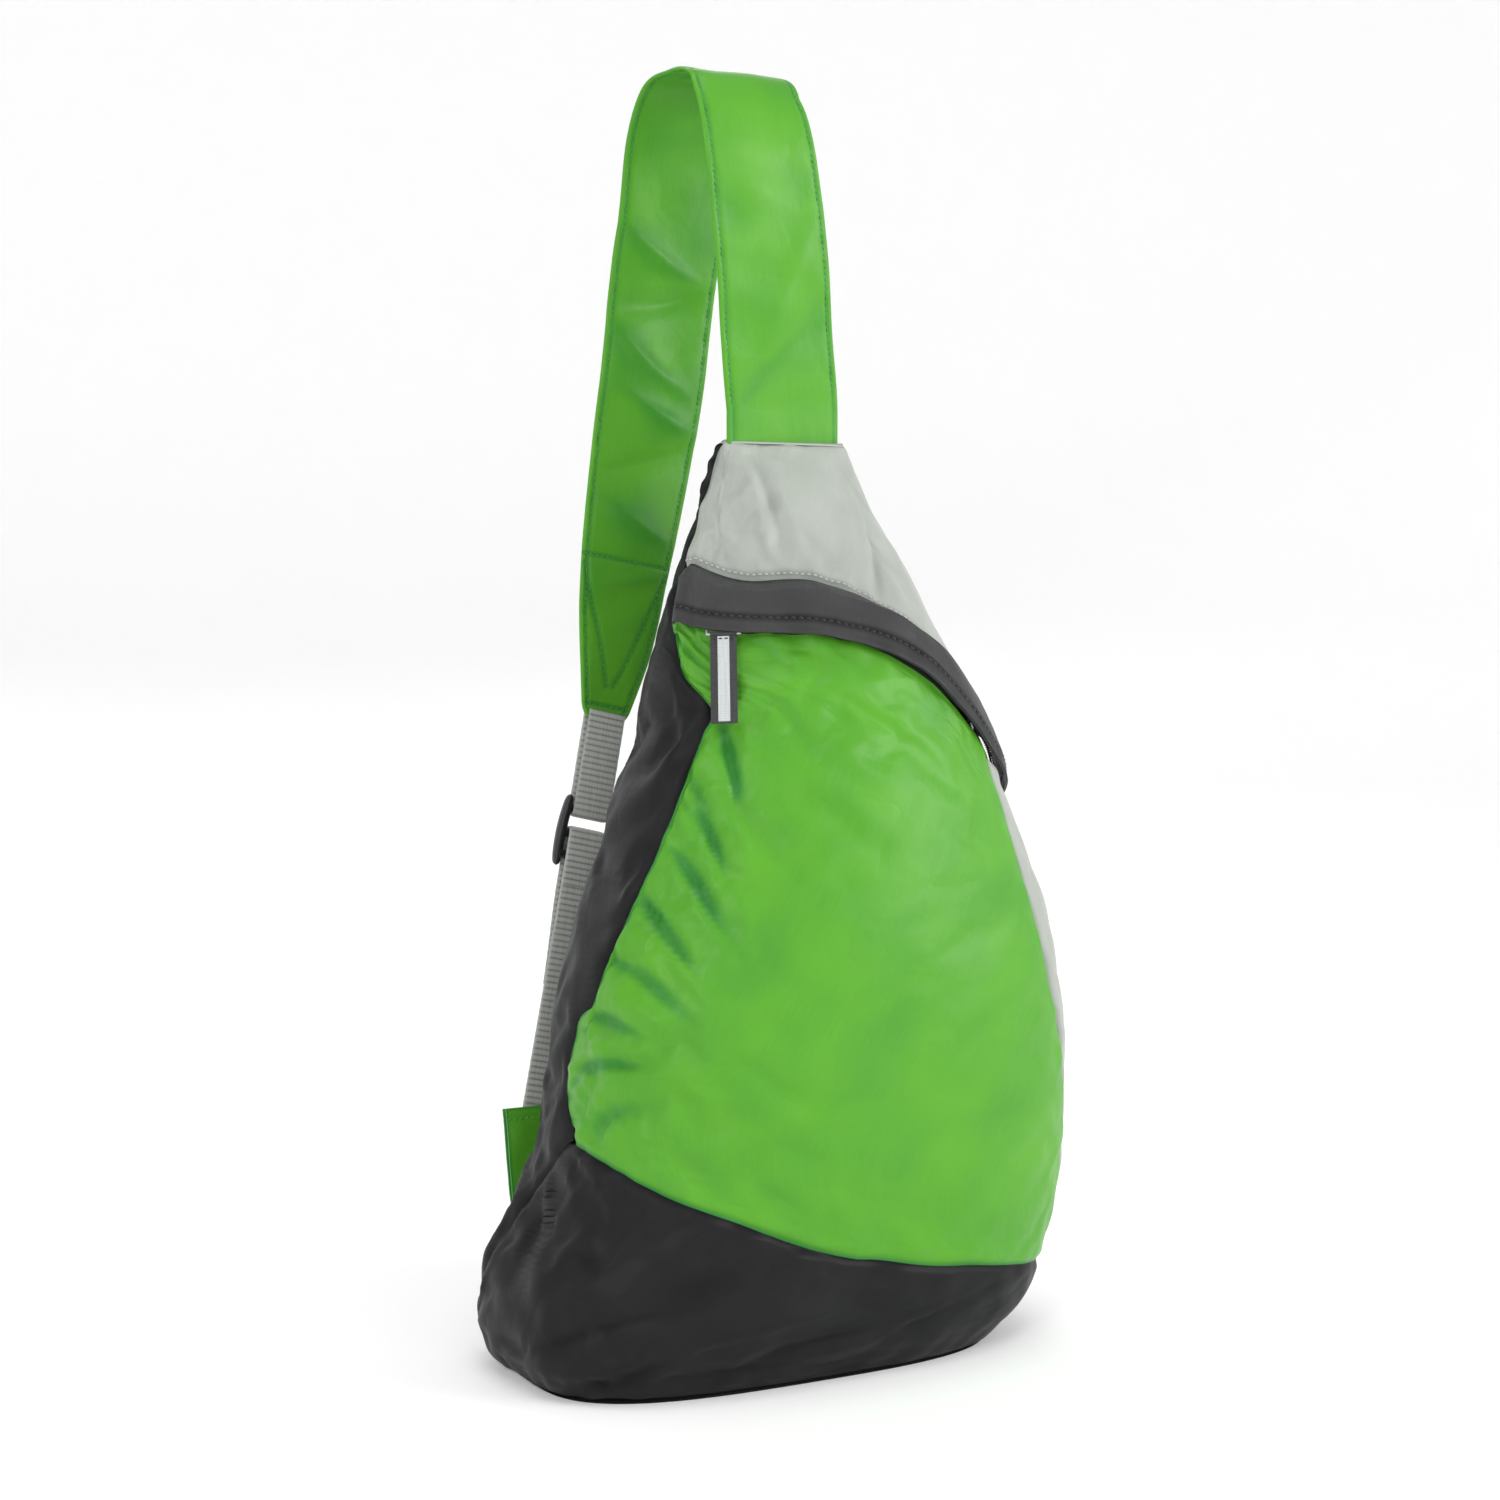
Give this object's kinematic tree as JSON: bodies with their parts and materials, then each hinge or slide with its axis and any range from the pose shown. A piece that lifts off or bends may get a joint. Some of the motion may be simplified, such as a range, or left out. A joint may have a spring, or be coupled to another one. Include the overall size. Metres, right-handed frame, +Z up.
{
  "type": "sling bag",
  "caption": "Mono-strap sling bag with a pear-shaped zipped body, a wide shoulder strap, a webbing adjuster and a ribbon zip pull.",
  "frame": {"origin": "on the floor under the middle of the flat base", "axes": "+Z up along the standing bag, front towards -Y, +X to the right seen from the front"},
  "size_m": [0.2897, 0.1792, 0.6225],
  "materials": {
    "green_cloth": "satin woven polyester",
    "grey_cloth": "satin woven polyester",
    "black_cloth": "satin woven polyester",
    "charcoal_cloth": "satin woven polyester",
    "zip_tape": "woven tape",
    "zip_nylon": "moulded nylon coil",
    "zip_metal": "black enamel on zinc",
    "black_ribbon": "ribbed ribbon",
    "reflective": "retro-reflective tape",
    "grey_webbing": "ribbed webbing",
    "black_plastic": "moulded acetal"
  },
  "bodies": {
    "bag": {"base_panel": "black_cloth", "boot_panel": "black_cloth", "front_panel": "green_cloth", "upper_panel": "grey_cloth", "right_gusset": "grey_cloth", "left_gusset": "black_cloth", "back_panel": "black_cloth", "storm_flap": "charcoal_cloth", "zip_tape_upper": "zip_tape", "zip_tape_lower": "zip_tape", "zip_chain": "zip_nylon", "zip_stops": "zip_metal", "top_binding": "black_cloth", "strap_root": "green_cloth", "tab_front": "green_cloth", "tab_back": "green_cloth", "webbing_root": "grey_webbing"},
    "slider": {"zip_slider": "zip_metal"},
    "puller": {"zip_puller": "zip_metal"},
    "tab": {"pull_tab": "black_ribbon", "reflective_strip": "reflective"},
    "strap": {"strap_front": "green_cloth", "strap_crown": "green_cloth", "strap_back": "green_cloth", "webbing_lower": "grey_webbing"},
    "adjuster": {"strap_end": "green_cloth", "webbing_loop": "grey_webbing", "buckle": "black_plastic", "webbing_bend": "grey_webbing", "webbing_tail": "grey_webbing"}
  },
  "joints": [
    {"name": "zip_travel", "type": "hinge", "parent": "bag", "child": "slider", "pos_m": [0.0231, 0.05595, 0.25455], "axis": [0.4099, 0.7161, 0.565], "range_deg": [0, 75.5], "deforming": ["zip_chain", "zip_tape_upper", "zip_tape_lower"]},
    {"name": "puller_lie", "type": "hinge", "parent": "slider", "child": "puller", "pos_m": [-0.02054, -0.00716, 0.36269], "axis": [-0.853, 0.5203, -0.0406], "range_deg": [0, 34]},
    {"name": "tab_lift", "type": "hinge", "parent": "puller", "child": "tab", "pos_m": [-0.02378, -0.01371, 0.34679], "axis": [-0.853, 0.5203, -0.0406], "range_deg": [0, 70]},
    {"name": "strap_swing", "type": "hinge", "parent": "bag", "child": "strap", "pos_m": [0.02801, 0.021, 0.443], "axis": [0.3096, -0.1433, 0.94], "range_deg": [-25, 35]},
    {"name": "adjuster_slide", "type": "slide", "parent": "strap", "child": "adjuster", "axis": [0.2281, 0.1078, 0.9676], "range_m": [-0.04, 0.015], "deforming": ["strap_back", "webbing_lower"]}
  ],
  "couplings": [
    {"joint": "puller_lie", "follows": "zip_travel", "ratio": 0.45}
  ]
}
